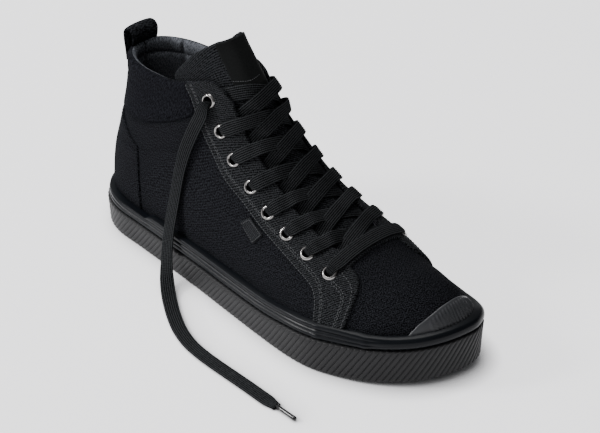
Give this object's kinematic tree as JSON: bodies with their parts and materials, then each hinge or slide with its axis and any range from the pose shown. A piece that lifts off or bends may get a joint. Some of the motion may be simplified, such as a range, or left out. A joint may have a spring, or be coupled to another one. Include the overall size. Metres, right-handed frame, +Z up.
{
  "type": "high top sneaker",
  "caption": "Laced canvas high top shoe for the right foot, with a ribbed rubber cup sole, toe bumper, padded cuff and heel pull loop.",
  "frame": {"origin": "middle of the shoe's underside, halfway along and across the shoe without its free lace end", "axes": "+X to the toe, +Y to the inner side of the foot, +Z up"},
  "size_m": [0.3008, 0.1457, 0.1645],
  "materials": {
    "sole_rubber": "satin",
    "canvas": "matt plain weave",
    "twill": "matt twill",
    "cuff_cloth": "matt brushed cloth",
    "lining": "smooth cloth",
    "label_cloth": "smooth woven",
    "webbing": "woven tape",
    "lace": "flat braid, ribbed lengthwise",
    "nickel": "bright nickel",
    "aglet_plastic": "gloss"
  },
  "bodies": {
    "root": {"outsole": "sole_rubber", "foxing_band": "sole_rubber", "toe_bumper": "sole_rubber", "insole": "lining", "upper": "canvas", "eyestay_outer": "twill", "eyestay_inner": "twill", "ankle_cuff": "cuff_cloth", "heel_counter": "canvas", "tongue": "twill", "tongue_label": "label_cloth", "side_tab": "webbing", "lace_crossings": "lace", "eyelet_outer_1": "nickel", "eyelet_outer_2": "nickel", "eyelet_outer_3": "nickel", "eyelet_outer_4": "nickel", "eyelet_outer_5": "nickel", "eyelet_outer_6": "nickel", "eyelet_outer_7": "nickel", "eyelet_outer_8": "nickel", "eyelet_inner_1": "nickel", "eyelet_inner_2": "nickel", "eyelet_inner_3": "nickel", "eyelet_inner_4": "nickel", "eyelet_inner_5": "nickel", "eyelet_inner_6": "nickel", "eyelet_inner_7": "nickel", "eyelet_inner_8": "nickel", "pull_loop": "webbing", "lace_end": "lace", "aglet": "aglet_plastic"}
  },
  "joints": []
}
